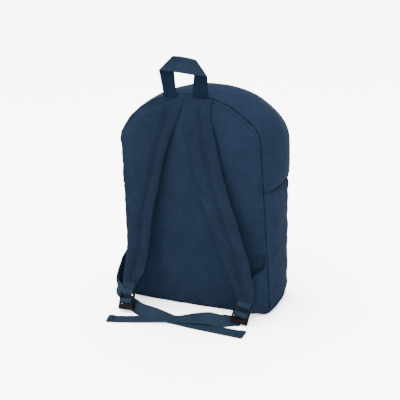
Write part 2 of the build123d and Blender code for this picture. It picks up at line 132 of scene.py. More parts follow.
def woven(name, low, high, thread, depth, roughness, coords="UV", ribs=None):
    """Woven cloth: crossing threads, slubs, uneven dye and small creases; lengths in metres."""
    material, tree, bsdf = shader(name, roughness, specular=0.003)
    where, space = texture_space(tree, coords), texture_space(tree)
    warp = bands(where, "X", thread)
    weft = bands(where, "Y", thread)
    if coords == "Object":
        weft = math_node("MAXIMUM", weft, bands(where, "Z", thread))
    threads = math_node("MAXIMUM", warp, weft)
    slub = noise_tex(space, 900, 2.0)
    mottle = noise_tex(space, 38, 5.0, 0.65)
    broad = noise_tex(space, 9, 3.0)
    tone = plus(times(mottle, 0.55), times(broad, 0.45))
    tone = plus(tone, times(plus(slub, -0.5), 0.25))
    tone = plus(tone, times(plus(threads, -0.7), 0.10))
    tree.links.new(colour_ramp(tone, low, high), bsdf.inputs["Base Color"])
    vary_roughness(bsdf, mottle, roughness, 0.16)
    height = plus(threads, times(slub, 0.5))
    if ribs:
        height = plus(height, times(bands(where, "Y", ribs, 0.0), 1.4))
    weave = bump(height, 0.55, depth)
    creases = bump(noise_tex(space, 70, 4.0, 0.6), 0.5, 0.0011)
    tree.links.new(weave.outputs[0], creases.inputs["Normal"])
    tree.links.new(creases.outputs[0], bsdf.inputs["Normal"])
    return material


def moulded(name, low, high, roughness):
    """Moulded plastic or enamelled metal: fine grain, scuffs and uneven gloss."""
    material, tree, bsdf = shader(name, roughness, specular=0.015)
    space = texture_space(tree)
    fine = noise_tex(space, 1500, 3.0)
    scuff = noise_tex(space, 160, 5.0, 0.7)
    tree.links.new(colour_ramp(scuff, low, high, 0.35, 0.75), bsdf.inputs["Base Color"])
    vary_roughness(bsdf, scuff, roughness, 0.22)
    tree.links.new(bump(plus(fine, scuff), 0.4, 0.00006).outputs[0], bsdf.inputs["Normal"])
    return material


# Darkest and lightest colour, thread spacing, weave depth and roughness of each cloth.
cloth = woven("body_fabric", (0.0029, 0.0052, 0.0104), (0.0045, 0.0078, 0.0148), 0.0009, 0.00022, 0.86)
strap_cloth = woven("strap_fabric", (0.0025, 0.0043, 0.0084), (0.0038, 0.0064, 0.0120), 0.0009, 0.00022, 0.84)
handle_cloth = woven("handle_fabric", (0.0034, 0.0062, 0.0110), (0.0050, 0.0088, 0.0152), 0.0009, 0.00022, 0.84)
lining = woven("lining_fabric", (0.006, 0.010, 0.017), (0.009, 0.0145, 0.023), 0.0007, 0.00015, 0.75, "Object")
binding = woven("binding_tape", (0.003, 0.0055, 0.010), (0.0045, 0.0085, 0.015), 0.0012, 0.0002, 0.85, "Object")
foam_skin = woven("foam", (0.32, 0.32, 0.31), (0.42, 0.42, 0.41), 0.0021, 0.0003, 0.92, "Object")
webbing = woven("webbing", (0.0042, 0.0071, 0.0120), (0.0062, 0.0102, 0.0170), 0.0014, 0.00035, 0.74, ribs=0.0021)
tape = woven("zip_tape", (0.0026, 0.0044, 0.0084), (0.0040, 0.0068, 0.0122), 0.0008, 0.0002, 0.8)
thread = woven("thread", (0.0018, 0.003, 0.0058), (0.0028, 0.0046, 0.0086), 0.0004, 0.0001, 0.6, "Object")
# Near-black lines laid along seams and hems: painted shade for the shadow in seam grooves and at hem steps, not a
# thread colour.
seam_shade = woven("seam_painted_shade", (0.0009, 0.0014, 0.0026), (0.0014, 0.0022, 0.004), 0.0006, 0.0001, 0.9, "Object")
# Darker webbing for the handle legs: the reverse face of the weave, and painted shade for the shadow the legs sit in.
handle_reverse_painted_shade = woven(
    "handle_reverse_painted_shade", (0.0015, 0.0032, 0.0066), (0.0024, 0.0046, 0.0092), 0.0012, 0.0003, 0.88, ribs=0.0024
)
coil = moulded("zip_coil", (0.0050, 0.0085, 0.0140), (0.0080, 0.0130, 0.0210), 0.42)
metal = moulded("zip_metal", (0.0050, 0.0080, 0.0130), (0.0110, 0.0160, 0.0230), 0.45)
plastic = moulded("buckle_plastic", (0.0010, 0.0010, 0.0012), (0.0030, 0.0030, 0.0034), 0.45)

# ---- mesh helpers


def new_object(name, points, faces, material, uvs=None):
    """Mesh object from points in millimetres; uvs holds one (u, v) in millimetres for each point."""
    mesh = bpy.data.meshes.new(name)
    places = [tuple(p) for p in np.asarray(points, float) * MM]
    mesh.from_pydata(places, [], [tuple(int(i) for i in f) for f in faces])
    mesh.shade_smooth()
    if uvs is not None:
        layer = mesh.uv_layers.new(name="weave")
        corners = np.zeros(len(mesh.loops), np.int32)
        mesh.loops.foreach_get("vertex_index", corners)
        layer.data.foreach_set("uv", (np.asarray(uvs, float)[corners] * MM).ravel())
    obj = bpy.data.objects.new(name, mesh)
    link_object(obj)
    mesh.materials.append(material)
    return obj


def tube_faces(rings, n, base=0):
    """Faces of a tube of rings with n points each; the last two faces close its ends."""
    faces = []
    for k in range(base, base + (rings - 1) * n, n):
        for i in range(n):
            j = (i + 1) % n
            faces.append((k + i, k + j, k + n + j, k + n + i))
    last = base + (rings - 1) * n
    return faces + [tuple(range(base, base + n))[::-1], tuple(range(last, last + n))]


def grid_faces(rows_count, columns):
    starts = [k * columns + i for k in range(rows_count - 1) for i in range(columns - 1)]
    return [(a, a + 1, a + columns + 1, a + columns) for a in starts]


def face_outward(obj):
    """Turns the faces of a closed mesh outward."""
    bm = bmesh.new()
    bm.from_mesh(obj.data)
    bmesh.ops.recalc_face_normals(bm, faces=bm.faces)
    bm.to_mesh(obj.data)
    bm.free()


def modified(obj, kind, **settings):
    """Applies one modifier."""
    modifier = obj.modifiers.new(kind.lower(), kind)
    for key, value in settings.items():
        setattr(modifier, key, value)
    graph = bpy.context.evaluated_depsgraph_get()
    done = bpy.data.meshes.new_from_object(obj.evaluated_get(graph), preserve_all_data_layers=True, depsgraph=graph)
    obj.modifiers.clear()
    obj.data = done


def smoothed(obj):
    modified(obj, "SUBSURF", levels=1, render_levels=1)


def coordinates(mesh):
    co = np.zeros(len(mesh.vertices) * 3, np.float32)
    mesh.vertices.foreach_get("co", co)
    return co.reshape(-1, 3).astype(float)


def set_coordinates(mesh, co):
    mesh.vertices.foreach_set("co", np.asarray(co, np.float32).ravel())
    mesh.update()


def vertex_normals(mesh):
    normals = np.zeros(len(mesh.vertices) * 3, np.float32)
    mesh.vertices.foreach_get("normal", normals)
    return normals.reshape(-1, 3).astype(float)


def surface_tree(obj):
    places = [tuple(p) for p in coordinates(obj.data)]
    return BVHTree.FromPolygons(places, [tuple(p.vertices) for p in obj.data.polygons])


def unit(vectors):
    return vectors / np.linalg.norm(vectors, axis=-1, keepdims=True)


def distances(line):
    """Length of a line up to each of its points."""
    return np.concatenate([[0], np.cumsum(np.linalg.norm(np.diff(line, axis=0), axis=1))])


def point_at(line, run, at):
    return np.array([np.interp(at, run, line[:, k]) for k in range(3)])


def smoothstep(x):
    x = np.clip(x, 0.0, 1.0)
    return x * x * (3 - 2 * x)


def curve_through(points, count):
    """Catmull-Rom line through the points, evenly spaced along its length."""
    p = np.asarray(points, float)
    p = np.vstack([2 * p[0] - p[1], p, 2 * p[-1] - p[-2]])
    out = []
    for k in range(1, len(p) - 2):
        for t in np.linspace(0, 1, 24, endpoint=False):
            a, b, c, d = p[k - 1], p[k], p[k + 1], p[k + 2]
            cubic = (2 * a - 5 * b + 4 * c - d) * t**2 + (3 * b - a - 3 * c + d) * t**3
            out.append(0.5 * (2 * b + (c - a) * t + cubic))
    out.append(p[-2])
    out = np.array(out)
    run = distances(out)
    wanted = np.linspace(0, run[-1], count)
    return np.stack([np.interp(wanted, run, out[:, k]) for k in range(out.shape[1])], axis=1)


def crumple(points, size, amount, seed):
    """Soft irregular offsets, one for each point, in millimetres."""
    return np.array([amount * noise.noise(Vector(p) / size + Vector((seed, 0, 0))) for p in points])


# ---- pack shell

# Front elevations at three depths, as in the CAD: half base, taper, crown radius, crown centre, shoulder radius.
BACK = (150, 0.04, 170, 240, 50)
GIRTH = (152, -0.019, 190, 224, 60)
FRONT = (149, 0, 184, 226, 55)
CORNER = 14
DEPTH = 120
BACK_Y = 60
SEAM_Z = 238
ZIP_DEPTH = 101
N_BASE, N_CORNER, N_LOW, N_HIGH, N_SHOULDER, N_CROWN = 20, 4, 32, 14, 10, 22
HALF = N_BASE + N_CORNER + N_LOW + N_HIGH + N_SHOULDER + N_CROWN
RING = 2 * HALF
LOW_START = N_BASE + N_CORNER
HIGH_START = LOW_START + N_LOW
PATCH_LOW = N_BASE + N_CORNER // 2
PATCH_HIGH = HALF - N_CROWN
DEPTHS = np.array([0, 2.5, 7, 13, 20, 28, 36, 44, 52, 60, 68, 76, 83, 90, 96, 101, 106, 111, 116.5, 120.0])
ZIP_BACK, ZIP_FRONT = 96, 106
FOOT_DEPTH, FOOT_LIFT = 76, 25


def ring_of(shape):
    half_base, taper, crown_r, crown_z, shoulder_r = shape
    slope = math.sqrt(1 + taper * taper)
    reach = crown_r - shoulder_r
    start_x = half_base - shoulder_r * slope - taper * crown_z
    lean = taper * start_x
    rise = (lean + math.sqrt(lean**2 - slope**2 * (start_x**2 - reach**2))) / slope**2
    shoulder = np.array([start_x - taper * rise, crown_z + rise])
    corner = np.array([half_base - taper * CORNER - CORNER * slope, CORNER])
    side_angle = math.atan(taper)
    crown_angle = math.atan2(rise, shoulder[0])
    points = [(x, 0.0) for x in np.linspace(0, corner[0], N_BASE + 1)]
    for a in np.linspace(-math.pi / 2, side_angle, N_CORNER + 1)[1:]:
        points.append(corner + CORNER * np.array([math.cos(a), math.sin(a)]))
    low_z = points[-1][1]
    lift = np.linspace(0, 1, N_LOW + 1)[1:]
    lift = lift + 0.0072 * np.sin(2 * math.pi * lift)
    for z in low_z + (SEAM_Z - low_z) * lift:
        points.append((half_base - taper * z, z))
    high_z = shoulder[1] + shoulder_r * math.sin(side_angle)
    lift = np.linspace(0, 1, N_HIGH + 1)[1:]
    for z in SEAM_Z + (high_z - SEAM_Z) * (0.55 * lift + 0.45 * lift**2):
        points.append((half_base - taper * z, z))
    for a in np.linspace(side_angle, crown_angle, N_SHOULDER + 1)[1:]:
        points.append(shoulder + shoulder_r * np.array([math.cos(a), math.sin(a)]))
    for a in np.linspace(crown_angle, math.pi / 2, N_CROWN + 1)[1:]:
        points.append((crown_r * math.cos(a), crown_z + crown_r * math.sin(a)))
    half = np.array([tuple(p) for p in points])
    other = half[1:-1][::-1] * np.array([-1, 1])
    return np.vstack([half, other])


def ring_normals(ring):
    along = np.roll(ring, -1, axis=0) - np.roll(ring, 1, axis=0)
    return unit(np.stack([along[:, 1], -along[:, 0]], axis=1))


back_ring, girth_ring, front_ring = ring_of(BACK), ring_of(GIRTH), ring_of(FRONT)
girth_normals = ring_normals(girth_ring)

# How far the stuffed gusset stands proud of the girth outline, by height; it folds in along the seam at SEAM_Z.
PROUD_HEIGHTS = [0, 22, 45, 90, 150, 200, 226, 234, 238, 242, 250, 266, 290, 312, 335, 360, 390, 416]
PROUD = [4.5, 4.5, 1.0, -3.5, -0.5, 1.5, 0.5, -1.5, -4.0, 0.0, 4.5, 5.5, 5.0, 3.5, 5.0, 10.0, 12.5, 6.0]
proud = np.interp(girth_ring[:, 1], PROUD_HEIGHTS, PROUD)
proud[:N_BASE] = 0.0
proud[RING - N_BASE + 1:] = 0.0
on_left = smoothstep(0.5 - girth_ring[:, 0] / 160)


def gusset_row(depth):
    """Points of the gusset at one depth behind the back seam."""
    early = np.clip(depth / 60, 0, 1)
    swell = on_left * math.sqrt(1 - (1 - early) ** 2) + (1 - on_left) * math.sin(math.pi / 2 * early)
    flat = back_ring + (girth_ring - back_ring) * swell[:, None]
    hump = math.sin(math.pi * np.clip((depth - 4) / 112, 0, 1)) ** 0.8
    if depth > ZIP_DEPTH:
        late = (depth - ZIP_DEPTH) / (DEPTH - ZIP_DEPTH)
        flat = girth_ring + (front_ring - girth_ring) * (1 - math.sqrt(max(0.0, 1 - late**2)))
    flat = flat + girth_normals * (proud * hump * (0.1 + 0.9 * on_left))[:, None]
    x, z = flat[:, 0], flat[:, 1]
    forward_of_foot = max(0.0, depth - FOOT_DEPTH) / (DEPTH - FOOT_DEPTH)
    lifted = 1 - math.sqrt(max(0.0, 1 - forward_of_foot**2))
    z = z + FOOT_LIFT * lifted * np.clip(1 - z / 190, 0, 1) ** 2
    x = x * (1 - 0.012 * lifted * np.clip(1 - z / 120, 0, 1))
    sag = 4.5 * (1 - min(depth / 30, 1.0)) ** 2 * np.clip(1 - (x / 150) ** 2, 0, 1) * (z < 3)
    return np.stack([x, BACK_Y - depth + sag, z], axis=1)


rows = np.array([gusset_row(d) for d in DEPTHS])


def patch_points(ring, y, height, fullness):
    """Grid that fills a ring and is crowned by height: rows run from the base to the crown."""
    left = ring[-np.arange(PATCH_LOW, PATCH_HIGH + 1)]
    right = ring[PATCH_LOW : PATCH_HIGH + 1]
    bottom = ring[np.arange(-PATCH_LOW, PATCH_LOW + 1)]
    top = ring[-np.arange(PATCH_HIGH, RING - PATCH_HIGH + 1)]
    u = np.linspace(0, 1, len(bottom))[None, :, None]
    v = np.linspace(0, 1, len(left))[:, None, None]
    flat = left[:, None, :] * (1 - u) + right[:, None, :] * u
    top_lift = top[None] - (top[0] * (1 - u) + top[-1] * u)
    bottom_lift = bottom[None] - (bottom[0] * (1 - u) + bottom[-1] * u)
    flat = flat + top_lift * v**4 + bottom_lift * (1 - v) ** 8
    crown = (np.sin(math.pi * u) * np.sin(math.pi * v))[..., 0] ** fullness
    return np.stack([flat[..., 0], y + height * crown, flat[..., 1]], axis=2)


back_grid = patch_points(rows[0][:, [0, 2]], BACK_Y, 3.5, 0.7)
front_grid = patch_points(rows[-1][:, [0, 2]], BACK_Y - DEPTH, -2.5, 0.6)

perimeter = distances(girth_ring)
points = list(rows.reshape(-1, 3))
uvs = [(at, depth) for depth in DEPTHS for at in perimeter]


def gusset_region(i, j):
    side = i if i < HALF else RING - 1 - i
    if side < LOW_START:
        return "base"
    if side < HIGH_START:
        return "side_right" if i < HALF else "side_left"
    if DEPTHS[j] >= ZIP_BACK and DEPTHS[j + 1] <= ZIP_FRONT:
        return "slit"
    return "top" if DEPTHS[j] < ZIP_BACK else "flap"


faces = tube_faces(len(rows), RING)[:-2]
regions = [gusset_region(i, j) for j in range(len(rows) - 1) for i in range(RING)]


def add_patch(grid, base, flip, region_of):
    """Adds a patch whose border is the ring of points that starts at base."""
    count_v, count_u = grid.shape[:2]
    v, u = np.arange(count_v), np.arange(count_u)
    inner = grid[1:-1, 1:-1].reshape(-1, 3)
    index = np.zeros((count_v, count_u), int)
    index[1:-1, 1:-1] = len(points) + np.arange(len(inner)).reshape(count_v - 2, count_u - 2)
    index[0] = base + (RING - PATCH_LOW + u) % RING
    index[-1] = base + RING - PATCH_HIGH - u
    index[:, 0] = base + RING - PATCH_LOW - v
    index[:, -1] = base + PATCH_LOW + v
    points.extend(inner)
    uvs.extend(inner[:, [0, 2]])
    for face in grid_faces(count_v, count_u):
        quad = index.ravel()[list(face)]
        faces.append(quad if flip else quad[::-1])
        regions.append(region_of(face[0] // count_u))
    return index


FRONT_START = (len(rows) - 1) * RING
add_patch(back_grid, 0, False, lambda v: "back")
flap_row = HIGH_START - PATCH_LOW
front_index = add_patch(front_grid, FRONT_START, True, lambda v: "front_upper" if v >= flap_row else "front_lower")

shell = new_object("shell", points, faces, cloth, uvs)
face_outward(shell)

REGION_NAMES = ["back", "base", "side_right", "side_left", "slit", "top", "flap", "front_upper", "front_lower"]
region_data = shell.data.attributes.new("region", "INT", "FACE")
region_data.data.foreach_set("value", [REGION_NAMES.index(r) for r in regions])

edge_of_seam = np.zeros(len(points))
edge_of_seam[:RING] = 1
edge_of_seam[FRONT_START : FRONT_START + RING] = 1
for start in (LOW_START, HIGH_START, RING - HIGH_START, RING - LOW_START):
    edge_of_seam[start : FRONT_START + RING : RING] = 1
edge_of_seam[front_index[flap_row]] = 0.6
seam_data = shell.data.attributes.new("seam", "FLOAT", "POINT")
seam_data.data.foreach_set("value", edge_of_seam)

SIMULATED_FRAMES = 20


def simulate(obj, pinned, pressure, shrink, cap, stiffness=12.0, bending=0.6):
    """Swells a mesh with Cloth, keeps each point within cap metres of where it began, and leaves a plain mesh."""
    start = coordinates(obj.data)
    obj.vertex_groups.new(name="pinned").add(sorted(pinned), 1.0, "REPLACE")
    modifier = obj.modifiers.new("cloth", "CLOTH")
    settings = modifier.settings
    settings.quality = 6
    settings.mass = 0.3
    settings.tension_stiffness = settings.compression_stiffness = stiffness
    settings.shear_stiffness = stiffness / 3
    settings.bending_stiffness = bending
    settings.use_pressure = True
    settings.uniform_pressure_force = pressure
    settings.shrink_min = shrink
    settings.vertex_group_mass = "pinned"
    settings.effector_weights.gravity = 0
    modifier.point_cache.frame_start = 1
    modifier.point_cache.frame_end = SIMULATED_FRAMES
    scene = bpy.context.scene
    for f in range(1, SIMULATED_FRAMES + 1):
        scene.frame_set(f)
    graph = bpy.context.evaluated_depsgraph_get()
    moved = coordinates(obj.evaluated_get(graph).to_mesh())
    obj.evaluated_get(graph).to_mesh_clear()
    obj.modifiers.clear()
    obj.vertex_groups.clear()
    scene.frame_set(1)
    shift = moved - start
    length = np.linalg.norm(shift, axis=1)[:, None]
    limited = shift * (cap * np.tanh(length / cap) / np.maximum(length, 1e-9))
    set_coordinates(obj.data, start + limited)


pins = {int(i) for i in np.nonzero(edge_of_seam > 0.5)[0]}
for j, depth in enumerate(DEPTHS):
    for i in range(RING):
        side = min(i, RING - i)
        beside_zip = side >= HIGH_START and ZIP_BACK <= depth <= ZIP_FRONT
        if beside_zip or (side <= N_BASE and depth <= 60):
            pins.add(j * RING + i)
simulate(shell, pins, pressure=4.0, shrink=-0.012, cap=0.006)

smoothed(shell)
mesh = shell.data
co = coordinates(mesh)
seam_value = np.zeros(len(mesh.vertices), np.float32)
mesh.attributes["seam"].data.foreach_get("value", seam_value)
normals = vertex_normals(mesh)
pull = 1.3 * MM * np.clip(seam_value, 0, 1) ** 1.5
wrinkle = crumple(co * 1000, 22, 0.9, 3) + crumple(co * 1000, 60, 1.2, 7)
x, y, z = co.T
behind = y > 0.045
gusset = ~behind
edge_pull = np.exp(-(((np.abs(x) - 0.122) / 0.022) ** 2)) * behind
wrinkle += 3.4 * edge_pull * np.array([noise.noise(Vector((p[0] * 12, 0, p[2] * 75))) for p in co])
creased = [noise.noise(Vector((p[1] * 22 + p[2] * 9, p[2] * 30, 5))) for p in co]
wrinkle += 1.1 * (np.abs(x) > 0.12) * gusset * np.array(creased)
# A slanting crease low on the left side.
crease = np.exp(-(((z - 0.108 - 0.45 * (0.045 - y)) / 0.006) ** 2))
wrinkle += 1.6 * (x < -0.13) * gusset * crease * (y > -0.045)
near_zip = np.exp(-(((60 - y * 1000) - ZIP_DEPTH) / 7) ** 2) * (z > 0.236)
wrinkle *= 1 - near_zip
wrinkle[behind] = np.maximum(wrinkle[behind], -0.8)
on_floor = co[:, 2] < 0.004
wrinkle[on_floor] = np.minimum(wrinkle[on_floor], 0)
co = co - normals * pull[:, None] + normals * (wrinkle * MM)[:, None]
co[:, 2] = np.maximum(co[:, 2], 0.0003)
set_coordinates(mesh, co)

# ---- shell pieces

SHELL_PIECES = [
    ("back_fabric", "back", "back_panel", "pack"),
    ("base_fabric", "base", "base_panel", "pack"),
    ("side_fabric_right", "side_right", "side_panel_right", "pack"),
    ("side_fabric_left", "side_left", "side_panel_left", "pack"),
    ("top_gusset_fabric", "top", "top_gusset", "pack"),
    ("flap_gusset_fabric", "flap", "flap_gusset", "flap"),
    ("front_fabric_upper", "front_upper", "front_panel_upper", "flap"),
    ("front_fabric_lower", "front_lower", "front_panel_lower", "pack"),
]


def attach(obj, body, slot_name, *replaced):
    """Hangs a finished piece from its body's empty, or for the flap, handle and straps only bakes its placement into
    the mesh, and hides the CAD nodes it stands for; slot_name is not used.
    """
    if body == "flap":
        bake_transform(obj)
    elif body == "handle":
        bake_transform(obj)
    elif body in ("strap_left", "strap_right"):
        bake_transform(obj)
    else:
        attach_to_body(obj, body)
    if replaced:
        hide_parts(*replaced)


shell_tree = surface_tree(shell)
for piece_name, region, node, body in SHELL_PIECES:
    piece = shell.copy()
    piece.data = shell.data.copy()
    piece.name = piece.data.name = piece_name
    link_object(piece)
    code = REGION_NAMES.index(region)
    bm = bmesh.new()
    bm.from_mesh(piece.data)
    layer = bm.faces.layers.int.get("region")
    bmesh.ops.delete(bm, geom=[f for f in bm.faces if f[layer] != code], context="FACES")
    bm.to_mesh(piece.data)
    bm.free()
    modified(piece, "SOLIDIFY", thickness=0.0012, offset=-1.0)
    piece.data.shade_smooth()
    attach(piece, body, "body_fabric", node)
bpy.data.objects.remove(shell)

# ---- ribbons


# Half of a ribbon's section, as shares of its half width and half thickness, and the whole of it.
SECTION_TOP = [(-1, 0), (-0.97, 0.72), (-0.86, 1), (-0.5, 1), (0, 1), (0.5, 1), (0.86, 1), (0.97, 0.72), (1, 0)]
SECTION = SECTION_TOP + [(w, -h) for w, h in SECTION_TOP[-2:0:-1]]
HEM_SWELL = 2.4
FLOOR_GAP = 0.2


def ribbon(name, path, across, width, thickness, material, count=60, end_folds=0.0, on_floor=False):
    """Flat webbing along a smooth path; across gives its width direction at each path point."""
    line = curve_through(path, count)
    sides = curve_through(np.hstack([np.asarray(path, float), np.asarray(across, float) * 20]), count)[:, 3:]
    tangent = unit(np.gradient(line, axis=0))
    sides = unit(sides - tangent * np.sum(sides * tangent, axis=1)[:, None])
    up = np.cross(tangent, sides)
    run = distances(line)
    half = thickness / 2 * np.where(run[-1] - run < end_folds, HEM_SWELL, 1.0)
    if on_floor:
        lowest = line[:, 2] - np.abs(sides[:, 2]) * width / 2 - half
        line[:, 2] += np.maximum(FLOOR_GAP - lowest, 0)
    points, uvs = [], []
    for k in range(count):
        for w, h in SECTION:
            points.append(line[k] + sides[k] * w * width / 2 + up[k] * h * half[k])
            uvs.append((w * width / 2, run[k]))
    obj = new_object(name, points, tube_faces(count, len(SECTION)), material, uvs)
    face_outward(obj)
    return obj, line, up, sides


def stitches(name, rows_of_points, material, length=2.6, gap=1.2, width=0.75, lift=0.25):
    """Runs of thread, or near-black lines of painted seam shade: each row is a list of (point, normal) along a seam,
    in millimetres.
    """
    points, faces = [], []
    for row in rows_of_points:
        p = np.array([r[0] for r in row], float)
        n = np.array([r[1] for r in row], float)
        run = distances(p)
        at = gap
        while at + length < run[-1]:
            places = (at, at + length / 2, at + length)
            ends = [point_at(p, run, place) for place in places]
            up = point_at(n, run, places[1])
            up /= max(np.linalg.norm(up), 1e-6)
            side = np.cross(ends[2] - ends[0], up)
            side /= max(np.linalg.norm(side), 1e-6)
            faces += tube_faces(3, 3, len(points))
            for end, rise, half in zip(ends, (-0.25, lift, -0.25), (0.55, 1.0, 0.55)):
                points.append(end + up * rise - side * width / 2 * half)
                points.append(end + up * (rise + 0.28))
                points.append(end + up * rise + side * width / 2 * half)
            at += length + gap
    return new_object(name, points, faces, material)


def snapped(tree, points):
    """Points and outward normals where points fall on a surface."""
    row = []
    for p in points:
        place, normal, _, _ = tree.find_nearest(Vector(p) * MM)
        row.append((np.array(place) / MM, np.array(normal)))
    return row


# ---- shoulder straps

# Edges from the top seam to the padded end, as X and Z; each strap leans out from the back as it falls.
STRAPS = {
    "left": {
        "inner": [
            (-3, 405), (-1.5, 372), (-0.6, 337), (-9, 313), (-15, 283), (-21, 257),
            (-29, 235), (-43, 189), (-62, 141), (-80, 100), (-94, 68), (-102, 47),
        ],
        "outer": [
            (-54, 401), (-51.5, 381), (-55, 351), (-63, 315), (-68, 291), (-78, 255), (-88, 221),
            (-98, 194), (-111, 153), (-123, 117), (-129, 90), (-132, 66), (-130, 44),
        ],
        "seam": [
            (-28, 403), (-31, 367), (-34, 340), (-37.5, 314), (-44, 288), (-52, 253), (-59, 232),
            (-65, 214), (-75.5, 186), (-91, 142), (-101, 110), (-112, 68), (-116, 46),
        ],
        "lean": 0.11,
    },
    "right": {
        "inner": [(0.5, 405), (4, 390), (28, 329), (40, 293), (53, 236), (63, 194), (70, 143), (79, 92), (96, 56)],
        "outer": [(66, 396), (79, 372), (96, 313), (102, 239), (114, 163), (122, 104), (130, 56)],
        "seam": [
            (28, 401), (34, 380), (45, 346), (53, 320), (60, 300), (66, 274),
            (76, 235), (82, 204), (88, 168), (95, 125), (112, 60),
        ],
        "lean": 0.14,
    },
}
STATIONS = 92
COLUMNS = 27
STRAP_Y, STRAP_TOP = 64.2, 402
STRAP_HALF = 4.9
SEAM_ROWS = (-5.5, -2.4, 2.4, 5.5)


def strap_mesh(data):
    inner, outer, seam = (curve_through(data[key], STATIONS) for key in ("inner", "outer", "seam"))
    spread = np.linalg.norm(outer - inner, axis=1)
    seam_at = np.clip(np.sum((seam - inner) * (outer - inner), axis=1) / spread**2, 0.2, 0.85)
    run = distances((inner + outer) / 2)
    w = (1 - np.cos(np.linspace(0, math.pi, COLUMNS))) / 2
    top, low, uv = [], [], []
    for k in range(STATIONS):
        flat = inner[k][None] * (1 - w[:, None]) + outer[k][None] * w[:, None]
        y = STRAP_Y + data["lean"] * (STRAP_TOP - flat[:, 1])
        taper = 0.35 + 0.65 * smoothstep(run[k] / 26) * smoothstep((run[-1] - run[k]) / 16 + 0.25)
        half = STRAP_HALF * taper * (1 - np.abs(2 * w - 1) ** 3.2) ** (1 / 3.2)
        from_seam = (w - seam_at[k]) * spread[k]
        groove = np.exp(-((from_seam / 1.5) ** 2))
        step = 0.45 * smoothstep(from_seam / 2.0 + 0.5)
        edge = np.exp(-((np.minimum(w, 1 - w) * spread[k] - 4.2) ** 2) / 1.4)
        front = y + half - 2.1 * taper * groove + step * taper - 0.45 * taper * edge
        top.append(np.stack([flat[:, 0], front, flat[:, 1]], axis=1))
        low.append(np.stack([flat[:, 0], y - half * 0.85 + 0.5 * taper * groove, flat[:, 1]], axis=1))
        uv.append(np.stack([w * spread[k], np.full(len(w), run[k])], axis=1))
    return np.array(top), np.array(low), np.array(uv), seam_at, spread


# Index of each point on a strap's under side, which shares its edges with the upper side.
UNDER = np.arange(STATIONS * COLUMNS).reshape(STATIONS, COLUMNS)
UNDER[:, 1:-1] = STATIONS * COLUMNS + np.arange(STATIONS * (COLUMNS - 2)).reshape(STATIONS, COLUMNS - 2)


def above_strap(top, uv, spread, k, share):
    """A point just above a strap, at a share of its width."""
    return point_at(top[k], uv[k, :, 0] / spread[k], share) + (0, 3, 0)


for side, data in STRAPS.items():
    top, low, uv, seam_at, spread = strap_mesh(data)
    points = list(top.reshape(-1, 3)) + list(low[:, 1:-1].reshape(-1, 3))
    uvs = list(uv.reshape(-1, 2)) + list((uv[:, 1:-1] + (200, 0)).reshape(-1, 2))
    faces = []
    for k in range(STATIONS - 1):
        for i in range(COLUMNS - 1):
            a, b = k * COLUMNS + i, (k + 1) * COLUMNS + i
            faces.append((a, b, b + 1, a + 1))
            faces.append((UNDER[k, i], UNDER[k, i + 1], UNDER[k + 1, i + 1], UNDER[k + 1, i]))
    for k in (0, STATIONS - 1):
        for i in range(COLUMNS - 1):
            corners = (k * COLUMNS + i, k * COLUMNS + i + 1, UNDER[k, i + 1], UNDER[k, i])
            faces.append(tuple(dict.fromkeys(corners)))
    strap = new_object("strap_pad_" + side, points, faces, strap_cloth, uvs)
    face_outward(strap)
    pins = set()
    for k in range(STATIONS):
        for i in range(COLUMNS):
            on_seam = abs(uv[k, i, 0] - seam_at[k] * spread[k]) < 1.6
            if i in (0, COLUMNS - 1) or k in (0, STATIONS - 1) or on_seam:
                pins.update((k * COLUMNS + i, int(UNDER[k, i])))
    simulate(strap, pins, pressure=2.2, shrink=-0.02, cap=0.0013, stiffness=10, bending=0.3)
    smoothed(strap)
    co = coordinates(strap.data)
    ripple = crumple(co * 1000, 16, 0.55, 11) + crumple(co * 1000, 45, 0.7, 13)
    set_coordinates(strap.data, co + vertex_normals(strap.data) * (ripple * MM)[:, None])
    strap_tree = surface_tree(strap)
    sewing_rows = []
    for offset in SEAM_ROWS:
        share = np.clip(seam_at + offset / spread, 0.05, 0.95)
        line = [above_strap(top, uv, spread, k, share[k]) for k in range(3, STATIONS - 2)]
        sewing_rows.append(snapped(strap_tree, line))
    for end in (STATIONS - 12, STATIONS - 5):
        sewing_rows.append(snapped(strap_tree, top[end, 3:-3] + (0, 3, 0)))
    # A near-continuous dark line down the strap's middle seam is painted shade in the seam groove.
    lap = [above_strap(top, uv, spread, k, seam_at[k]) for k in range(2, STATIONS - 2)]
    seam = stitches("strap_seam_" + side, [snapped(strap_tree, lap)], seam_shade, 5.0, 0.2, 1.3, 0.05)
    attach(seam, "strap_" + side, "body_fabric")
    attach(strap, "strap_" + side, "body_fabric", "strap_cover_" + side, "strap_foam_" + side)
    attach(stitches("strap_stitching_" + side, sewing_rows, thread), "strap_" + side, "body_fabric")

# ---- carry handle

# Two points across the webbing, its place in Y and how far its face tips: up one leg, along the fold, down the other.
LEG_Y, FOLD_Y = 60.9, 63.4
HANDLE = [
    ((41.1, 397.5), (14.6, 396.5), LEG_Y, 0.10),
    ((43.5, 418), (16, 418), LEG_Y, 0.10),
    ((46, 434), (17.5, 440), LEG_Y, 0.05),
    ((49, 450.5), (19, 475.3), LEG_Y, 0.0),
    ((49, 450.5), (19, 475.3), FOLD_Y, 0.0),
    ((34, 449.6), (13, 474.8), FOLD_Y, -0.24),
    ((18, 448.2), (6, 473.8), FOLD_Y, -0.32),
    ((0, 445.6), (-3, 472.4), FOLD_Y, -0.34),
    ((-19, 442.5), (-12, 470.6), FOLD_Y, -0.32),
    ((-32, 440.8), (-18, 469.4), FOLD_Y, -0.24),
    ((-44, 439), (-24, 468), FOLD_Y, 0.0),
    ((-44, 439), (-24, 468), LEG_Y, 0.0),
    ((-43.7, 426), (-19, 440), LEG_Y, 0.05),
    ((-43.3, 412), (-16.2, 418), LEG_Y, 0.10),
    ((-42.9, 394.5), (-14.4, 394.5), LEG_Y, 0.10),
]
